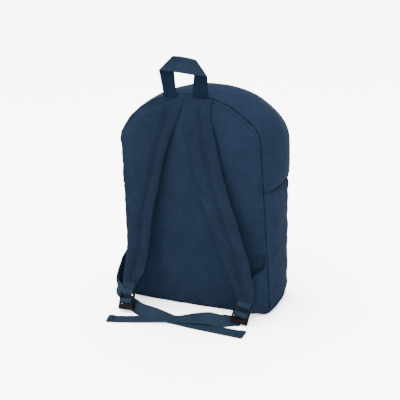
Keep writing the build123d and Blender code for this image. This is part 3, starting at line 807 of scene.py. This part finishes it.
HANDLE_THICKNESS = 2.0
HANDLE_BASE = 405
FACE_TOP = [(0, 0), (0.03, 0.75), (0.12, 1), (0.3, 1), (0.5, 1), (0.7, 1), (0.88, 1), (0.97, 0.75), (1.0, 0)]
FACE = FACE_TOP + [(w, -h) for w, h in FACE_TOP[-2:0:-1]]


def handle_lean(a, b):
    return -0.05 * max(0.0, ((a + b) / 2)[1] - HANDLE_BASE)


handle_stations = []
for (a0, b0, y0, tilt0), (a1, b1, y1, tilt1) in zip(HANDLE, HANDLE[1:]):
    for t in np.linspace(0, 1, 2 if y0 != y1 else 7, endpoint=False):
        a = np.array(a0) * (1 - t) + np.array(a1) * t
        b = np.array(b0) * (1 - t) + np.array(b1) * t
        handle_stations.append((a, b, y0 + (y1 - y0) * t, tilt0 + (tilt1 - tilt0) * t))
handle_stations.append(tuple(np.array(value) for value in HANDLE[-1]))
run = distances([(a + b) / 2 for a, b, _, _ in handle_stations])
points, uvs = [], []
for (a, b, y, tilt), along in zip(handle_stations, run):
    width = np.linalg.norm(b - a)
    for w, h in FACE:
        x, z = a * (1 - w) + b * w
        points.append((x, y + handle_lean(a, b) + tilt * (w - 0.5) * width + h * HANDLE_THICKNESS / 2, z))
        uvs.append((w * width, along))
handle = new_object("handle_strip", points, tube_faces(len(handle_stations), len(FACE)), handle_cloth, uvs)
face_outward(handle)
co = coordinates(handle.data)
co[:, 1] += crumple(co * 1000, 18, 0.7, 21) * MM * np.clip((co[:, 2] - 0.405) / 0.02, 0, 1)
set_coordinates(handle.data, co)
# The legs take the darker material, which is painted shade as well as the reverse face; the fold across the top keeps
# the lighter one.
handle.data.materials.append(handle_reverse_painted_shade)
for polygon in handle.data.polygons:
    station = min(polygon.index // len(FACE), len(handle_stations) - 1)
    polygon.material_index = 0 if handle_stations[station][2] > 62 else 1
handle_tree = surface_tree(handle)
sewing_rows = []
for share in (0.12, 0.88):
    line = []
    for a, b, y, _ in handle_stations:
        x, z = a * (1 - share) + b * share
        line.append((x, 75.0 if y > 62 else y + handle_lean(a, b) + 1.5, z))
    sewing_rows.append(snapped(handle_tree, line))
handle_sewing = stitches("handle_stitching", sewing_rows, thread)
attach(handle, "handle", "webbing", "carry_handle")
attach(handle_sewing, "handle", "webbing")

# ---- wings


WING_ROWS, WING_COLUMNS = 28, 16
WINGS = {
    "left": {
        "seam": [(-143.4, 57.4, 123), (-144.8, 57, 84), (-146.4, 57, 46), (-147.0, 57, 22), (-144.5, 57, 5)],
        "free": [
            (-144.6, 62.2, 119), (-141, 66.5, 96), (-127, 79, 87), (-114, 88, 60), (-112, 89, 34), (-117, 88, 12),
        ],
        "out": (-0.3, 1, 0),
    },
    "right": {
        "seam": [(143.8, 57.4, 106), (145.2, 57, 72), (146.4, 57, 44), (147.0, 57, 22), (144.5, 57, 5)],
        "free": [(147.5, 78, 90), (151, 95, 64), (152, 99, 42), (149.5, 91, 16)],
        "out": (1, 0.2, 0),
    },
}
for side, data in WINGS.items():
    seam_line, free_line = (curve_through(data[key], WING_ROWS) for key in ("seam", "free"))
    out = np.array(data["out"], float)
    u = np.linspace(0, 1, WING_COLUMNS)[None, :]
    v = np.linspace(0, 1, WING_ROWS)[:, None]
    fold = 1.3 * np.sin(4 * math.pi * u + 2 * v) * np.sin(math.pi * v) * np.sin(math.pi * u * 0.5 + 0.3)
    grid = seam_line[:, None] * (1 - u[..., None]) + free_line[:, None] * u[..., None]
    grid = grid + fold[..., None] * unit(out)
    uvs = np.stack([np.tile(u[0] * 40, WING_ROWS), np.repeat(v[:, 0] * 110, WING_COLUMNS)], axis=1)
    faces = grid_faces(WING_ROWS, WING_COLUMNS)
    wing = new_object("wing_fabric_" + side, grid.reshape(-1, 3), faces, cloth, uvs)
    modified(wing, "SOLIDIFY", thickness=0.0022, offset=0.0)
    smoothed(wing)
    wing_tree = surface_tree(wing)
    sewing_rows = [snapped(wing_tree, line + out * 4) for line in (grid[2:-2, -3], grid[1, 1:-2])]
    attach(wing, "pack", "body_fabric", "wing_" + side)
    attach(stitches("wing_stitching_" + side, sewing_rows, thread), "pack", "body_fabric")

# ---- buckle webbing


WEBBING = 24.6


def lock_frame(top, bottom, across):
    """Origin and axes of a ladder lock: across it, up along it and back to the pack."""
    up = unit(np.subtract(top, bottom))
    x = unit(across - up * np.dot(across, up))
    return np.array(top, float), x, up, np.cross(x, up)


def local(lock, y, z):
    """A point in the plane of a lock's Y and Z."""
    origin, _, up, back = lock
    return origin + up * y + back * z


locks = {
    "left": lock_frame((-113, 103, 36), (-106.5, 113, 6), (1, 0.2, 0)),
    "right": lock_frame((120, 113, 33), (117, 135, 4), (1, -0.1, 0)),
}
# Two points inside each strap's padded end, the lower one first.
PAD_ENDS = {"left": ((-113.5, 99.5, 72), (-109, 97.5, 86)), "right": ((113, 112, 68), (109, 109.5, 80))}
# The webbing through each lock in the lock's own Y and Z; the side that the camera sees is at negative Z.
LOOP_AROUND = [(10, -2.6), (1.5, -2.9), (-2.3, -1.4), (-2.3, 1.4), (1.5, 2.9), (10, 2.6)]
WRAP_AROUND = [
    (-27, 5.0), (-19, 4.4), (-14, 2.4), (-12.4, -1.5), (-14.2, -3.8), (-18.2, -4.0),
    (-20.4, -2.0), (-20.6, 1.0), (-23, 3.2), (-29, 3.4), (-31, 4.4),
]
for side, lock in locks.items():
    pad_end, pad_high = np.array(PAD_ENDS[side])
    path = [pad_high + (0, -0.6, 0), pad_end + (0, 0.6, -3)]
    path += [local(lock, y, z) for y, z in LOOP_AROUND] + [pad_end + (0, -3.0, 2)]
    loop = ribbon("buckle_webbing_" + side, path, [lock[1]] * len(path), 25, 1.5, webbing, 70)[0]
    attach(loop, "strap_" + side, "webbing", "buckle_loop_" + side)
    path = [local(lock, y, z) for y, z in WRAP_AROUND]
    wrap = ribbon("webbing_wrap_" + side, path, [lock[1]] * len(path), WEBBING, 1.4, webbing, 60)[0]
    attach(wrap, "lock_" + side, "webbing")

left, right = locks["left"], locks["right"]
anchors = {
    "left": (
        [(-114, 87, 34), (-112, 94, 30), local(left, -12, 9), local(left, -20, 6.6), local(left, -28, 5.4)],
        [(0.2, 0.3, -0.9), (0.6, 0.2, -0.6), left[1], left[1], left[1]],
    ),
    "right": (
        [(150.5, 97, 46), (145, 106, 39), (135, 113, 32), local(right, -14, 9), local(right, -26, 6)],
        [(0, 0.1, -1), (0.2, 0.2, -0.9), (0.6, 0.1, -0.6), right[1], right[1]],
    ),
}
for side, (path, across) in anchors.items():
    anchor = ribbon("anchor_webbing_strip_" + side, path, across, WEBBING, 1.5, webbing, 46)[0]
    start, end = (tuple(np.array(path[k]) * MM) for k in (0, 2))
    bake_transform(anchor)
    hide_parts("anchor_webbing_" + side)

# Each tail begins behind its buckle, far enough back for the buckle to tilt. One row holds a point of its path and
# the direction of its width there.
TAILS = {
    "left": [
        (-105, 102.5, 2.4, 0.2, 1, -0.15), (-98, 105.5, 3.2, 0.15, 1, -0.15),
        (-86, 113.5, 5.4, 0.1, 0.95, -0.35), (-74, 120.5, 8.6, 0.1, 0.88, -0.55),
        (-60, 123.5, 11.2, 0.1, 0.85, -0.68), (-47, 123.5, 11, 0.1, 0.85, -0.66),
        (-20, 126, 7.5, 0.15, 0.95, -0.35), (6, 131.5, 4.2, -0.2, 1, -0.05),
        (38, 139, 3.6, -0.3, 1, 0), (78, 151, 2.2, -0.3, 1, 0),
        (112, 160, 1.3, -0.25, 1, 0), (137, 166.5, 1.3, -0.25, 1, 0),
    ],
    "right": [
        (126, 114.5, 10.2, 0, 0.62, -0.78), (114, 115.5, 10.2, 0, 0.62, -0.78),
        (104, 119.5, 10.4, 0, 0.62, -0.78), (94, 126, 10.6, 0.04, 0.61, -0.78),
        (82, 131.5, 10.6, 0.08, 0.6, -0.78), (66, 133, 9.6, 0.06, 0.7, -0.66),
        (52, 132.5, 8, 0.05, 0.8, -0.5), (18, 134, 3.5, 0, 1, -0.15),
        (-30, 138, 1.3, 0.05, 1, 0), (-80, 141, 1.3, 0.1, 1, 0),
        (-127, 143, 1.3, 0.08, 1, 0),
    ],
}
RESTS_FROM = {"left": (-66, 122, 11.5), "right": (80, 132, 11.5)}
TAIL_WIDTH = 24.8
for side, rows_of_tail in TAILS.items():
    path, across = np.split(np.array(rows_of_tail, float), 2, axis=1)
    strip, line, up, sides = ribbon("tail_strip_" + side, path, across, TAIL_WIDTH, 1.5, webbing, 150, 11.0, True)
    face_up = 1 if up[-1][2] > 0 else -1
    # Two dark lines across each tail near its end are painted shade at the step of the folded hem.
    hem_rows = []
    for back in (-7, -4):
        out = up[back] * face_up
        hem_rows.append([(line[back] + sides[back] * w + out * 1.8, out) for w in np.linspace(-12, 12, 9)])
    hem = stitches("tail_hem_" + side, hem_rows, seam_shade, 2.4, 0.4, 1.3, 0.1)
    start = tuple(np.array(RESTS_FROM[side]) * MM)
    end = tuple(local(locks[side], -24, 1.5) * MM)
    for piece in (strip, hem):
        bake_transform(piece)
    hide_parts("webbing_tail_" + side)

# ---- main zip

# One zip tooth from its head to its tail: place across the zip, half width, lowest and highest point.
TOOTH = ((1.15, 0.42, -0.6, 0.45), (0.0, 0.55, -0.75, 0.75), (-1.1, 0.62, -0.8, 0.85), (-1.75, 0.45, -0.45, 0.5))
TOOTH_PITCH = 1.9
TEETH_APART = 1.25
TAPE_APART = 6.9
TAPE_SIZE = (12.0, 0.6)


def add_tooth(points, faces, place, across, along, out):
    faces += tube_faces(len(TOOTH), 4, len(points))
    for reach, width, low, high in TOOTH:
        for s, h in ((-1, low), (-1, high), (1, high), (1, low)):
            points.append(place + across * reach + along * s * width + out * h)


zip_ring = rows[list(DEPTHS).index(ZIP_DEPTH)]
top_indices = [k % RING for k in range(HIGH_START, RING - HIGH_START + 1)]
zip_line = zip_ring[top_indices]
zip_out = np.insert(girth_normals[top_indices], 1, 0.0, axis=1)
for half, sign, body in (("back", 1, "pack"), ("front", -1, "flap")):
    across = np.array([0, sign, 0])
    path = zip_line - zip_out * 1.9 + across * TAPE_APART
    strip = ribbon("zip_tape_strip_" + half, path, [(0, 1, 0)] * len(path), *TAPE_SIZE, tape, 240)[0]
    attach(strip, body, "zip_tape", "zip_tape_" + half)
    smooth = curve_through(zip_line - zip_out * 0.55 + across * TEETH_APART, 1200)
    out_at = curve_through(zip_out, 1200)
    run = distances(smooth)
    points, faces = [], []
    at = 1.0 + (TOOTH_PITCH / 2 if sign > 0 else 0)
    while at < run[-1] - 1:
        out = unit(out_at[int(np.interp(at, run, np.arange(1200)))])
        add_tooth(points, faces, point_at(smooth, run, at), across, np.cross(out, (0, 1, 0)), out)
        at += TOOTH_PITCH
    teeth = new_object("zip_coil_teeth_" + half, points, faces, coil)
    face_outward(teeth)
    attach(teeth, body, "zip_coil", "zip_coil_" + half)

# ---- front pocket

POCKET_W, POCKET_LOW, POCKET_HIGH, POCKET_R = 220, 55, 205, 25
POCKET_MIDDLE = (POCKET_LOW + POCKET_HIGH) / 2
SLIT_LOW, SLIT_HIGH = 179, 189
SLIT_MIDDLE = (SLIT_LOW + SLIT_HIGH) / 2


def pocket_half_width(z):
    into_corner = max(POCKET_LOW + POCKET_R - z, z - POCKET_HIGH + POCKET_R, 0.0)
    return POCKET_W / 2 - POCKET_R + math.sqrt(max(0.0, POCKET_R**2 - into_corner**2))


def pocket_face(name, z_values, node):
    """Crowned pocket fabric between two heights, with its edge turned back to the front panel."""
    columns = np.linspace(-1, 1, 45)
    points = []
    for z in z_values:
        half = pocket_half_width(z)
        tall = np.clip((z - POCKET_LOW) / (POCKET_HIGH - POCKET_LOW), 0, 1)
        for c in columns:
            x = half * math.sin(c * math.pi / 2 * 0.96) / math.sin(math.pi / 2 * 0.96)
            edge = min(half - abs(x), z - POCKET_LOW, POCKET_HIGH - z)
            roll = 2.2 * math.exp(-edge / 3.0)
            crown = 3.2 * math.cos(c * math.pi / 2) ** 0.7 * math.sin(math.pi * tall) ** 0.8
            points.append((x, -71.6 - crown + roll + 0.8 * noise.noise(Vector((x / 30, z / 24, 4))), z))
    uvs = [(x, z) for x, _, z in points]
    obj = new_object(name, points, grid_faces(len(z_values), len(columns)), cloth, uvs)
    modified(obj, "SOLIDIFY", thickness=0.0012, offset=1.0)
    smoothed(obj)
    attach(obj, "pack", "body_fabric", node)


low_corner = POCKET_LOW + POCKET_R * (1 - np.cos(np.linspace(0.12, math.pi / 2, 7)))
high_corner = POCKET_HIGH - POCKET_R * (1 - np.cos(np.linspace(1.0, 0.12, 6)))
low_levels = np.concatenate([low_corner, np.linspace(POCKET_LOW + POCKET_R, SLIT_LOW, 15)[1:]])
high_levels = np.concatenate([np.linspace(SLIT_HIGH, 192, 3), high_corner])
pocket_face("pocket_fabric", low_levels, "pocket_panel")
pocket_face("pocket_fabric_top", high_levels, "pocket_top_strip")

GUSSET_POINTS = 160
GUSSET_LEVELS = ((-58.5, -0.2), (-61.5, 0.5), (-65.5, 0.8), (-69.0, 0.3), (-70.4, -0.8))
edge_line = []
w, h = POCKET_W / 2 - 0.6, (POCKET_HIGH - POCKET_LOW) / 2 - 0.6
cx, cz = w - POCKET_R, h - POCKET_R
for angle in np.linspace(0, 2 * math.pi, GUSSET_POINTS, endpoint=False):
    c, s = math.cos(angle), math.sin(angle)
    reach = min(w / max(abs(c), 1e-6), h / max(abs(s), 1e-6))
    if abs(c * reach) > cx and abs(s * reach) > cz:
        b = abs(c) * cx + abs(s) * cz
        reach = b + math.sqrt(max(0.0, b * b - (cx * cx + cz * cz) + POCKET_R**2))
    edge_line.append((c, s, reach))
points, uvs = [], []
for y, puff in GUSSET_LEVELS:
    for c, s, reach in edge_line:
        points.append((c * (reach + puff), y, s * (reach + puff) + POCKET_MIDDLE))
        uvs.append((len(uvs) % GUSSET_POINTS * 4.2, y))
faces = tube_faces(len(GUSSET_LEVELS), GUSSET_POINTS)[:-2]
gusset = new_object("pocket_gusset_fabric", points, faces, cloth, uvs)
modified(gusset, "SOLIDIFY", thickness=0.0011, offset=0.0)
smoothed(gusset)
attach(gusset, "pack", "body_fabric", "pocket_gusset")

strips = []
points, faces = [], []
for sign, name in ((1, "upper"), (-1, "lower")):
    path = [(x, -70.2, SLIT_MIDDLE + sign * TAPE_APART) for x in np.linspace(-98, 98, 9)]
    strips.append(ribbon("pocket_tape_" + name, path, [(0, 0, 1)] * 9, *TAPE_SIZE, tape, 60)[0])
    across = np.array([0, 0, sign])
    at = -97.0 + (TOOTH_PITCH / 2 if sign > 0 else 0)
    while at < 97:
        place = np.array([at, -71.5, SLIT_MIDDLE]) + across * TEETH_APART
        add_tooth(points, faces, place, across, np.array([1, 0, 0]), np.array([0, -1, 0]))
        at += TOOTH_PITCH
attach(strips[0], "pack", "zip_tape", "pocket_zip_tapes")
attach(strips[1], "pack", "zip_tape")
teeth = new_object("pocket_coil_teeth", points, faces, coil)
face_outward(teeth)
attach(teeth, "pack", "zip_coil", "pocket_zip_coils")

# ---- CAD nodes that stay

KEPT = [
    (foam_skin, 0.0, ["back_foam"]),
    (lining, 0.0, ["back_lining"]),
    (binding, 0.0, ["back_seam_binding", "front_seam_binding", "flap_seam_binding"]),
    (metal, 0.0005, ["slider_upper", "slider_lower", "pocket_slider"]),
    (metal, 0.0004, ["puller_upper", "puller_lower"]),
    (metal, 0.0003, ["pocket_puller"]),
    (plastic, 0.0008, ["ladder_lock_left", "ladder_lock_right"]),
]
for material, bevel, names in KEPT:
    for node in (nodes[name] for name in names):
        node.data.materials.clear()
        node.data.materials.append(material)
        if bevel:
            modifier = node.modifiers.new("soft_edges", "BEVEL")
            modifier.width = bevel
            modifier.segments = 2
            modifier.limit_method = "ANGLE"

# ---- shell stitching


def ring_row(depth, indices, shift, y_shift):
    """Points along the shell's ring at a depth, moved outward and in Y."""
    ring = rows[list(DEPTHS).index(depth)]
    return [ring[k] + (girth_normals[k][0] * shift, y_shift, girth_normals[k][1] * shift) for k in indices]


def sew(name, lines, body="pack", material=thread, *shape):
    attach(stitches(name, [snapped(shell_tree, line) for line in lines], material, *shape), body, "body_fabric")


around = [k % RING for k in range(LOW_START, RING - LOW_START + 1)]
welt_sides = ([k for k in around if rows[0][k][0] > 38], [k for k in around if rows[0][k][0] < -38])
side_seams = [[(x * 1.02, y, z - 4.5) for x, y, z in rows[1:-1, k]] for k in (HIGH_START, RING - HIGH_START)]
sew("back_seam_stitching", [ring_row(0, around, -5.0, 6.0)])
# A dark line along the back seam, left out across the crown between the handle legs, is painted shade in the seam's
# groove.
sew("back_seam_line", [ring_row(0, k, 0.5, 0.5) for k in welt_sides], "pack", seam_shade, 6.0, 0.2, 1.5, 0.1)
sew("side_seam_stitching", side_seams)
sew("zip_stitching_back", [ring_row(ZIP_BACK, top_indices, 2.0, 3.0)])
sew("zip_stitching_front", [ring_row(ZIP_FRONT, top_indices, 2.0, -3.0)], "flap")

# ---- floor, light and camera

floor_material, tree, bsdf = shader("floor", 0.9)
stains = colour_ramp(noise_tex(texture_space(tree), 3.0), (0.93, 0.93, 0.935), (0.95, 0.95, 0.955))
tree.links.new(stains, bsdf.inputs["Base Color"])
reach = 70000
corners = [(-reach, -reach, 0), (reach, -reach, 0), (reach, reach, 0), (-reach, reach, 0)]
floor = new_object("floor", corners, [(0, 1, 2, 3)], floor_material)

world = bpy.data.worlds.new("studio")
bpy.context.scene.world = world
world.use_nodes = True
sky = world.node_tree
heading = sky.nodes.new("ShaderNodeSeparateXYZ")
sky.links.new(texture_space(sky, "Generated"), heading.inputs[0])
around_sky = plus(plus(times(heading.outputs["X"], 0.55), times(heading.outputs["Y"], -0.45)), 0.5)
horizon = colour_ramp(around_sky, (0.26, 0.26, 0.26), (0.86, 0.86, 0.86), 0.05, 0.95)
zenith = colour_ramp(heading.outputs["Z"], (0, 0, 0), (1, 1, 1), 0.02, 0.75)
dome = plus(horizon, times(zenith, math_node("SUBTRACT", 1.0, horizon)))
sky.links.new(dome, sky.nodes["Background"].inputs["Color"])
sky.nodes["Background"].inputs["Strength"].default_value = 9.5


def area_light(name, place, target, size, power):
    light = bpy.data.lights.new(name, "AREA")
    light.shape = "RECTANGLE"
    light.size, light.size_y = size
    light.energy = power
    obj = bpy.data.objects.new(name, light)
    obj.location = place
    obj.rotation_mode = "QUATERNION"
    obj.rotation_quaternion = (Vector(target) - Vector(place)).to_track_quat("-Z", "Y")
    link_object(obj)


area_light("overhead", (0.35, 0.1, 2.3), (0, 0, 0.2), (1.6, 1.4), 75)
area_light("fill", (0.4, 2.2, 1.3), (0, 0, 0.2), (1.6, 1.6), 16)

camera_data = bpy.data.cameras.new("camera")
camera_data.lens = 54.0
camera_data.clip_start = 0.01
camera = bpy.data.objects.new("camera", camera_data)
right, up, back = (-0.91875, -0.39186, -0.04837), (0.07589, -0.29548, 0.95233), (-0.38747, 0.87129, 0.30121)
place = (-0.4459, 1.0202, 0.5480)
camera.matrix_world = Matrix([(*right, 0), (*up, 0), (*back, 0), (*place, 1)]).transposed()
link_object(camera)
bpy.context.scene.camera = camera

bpy.context.view_layer.update()
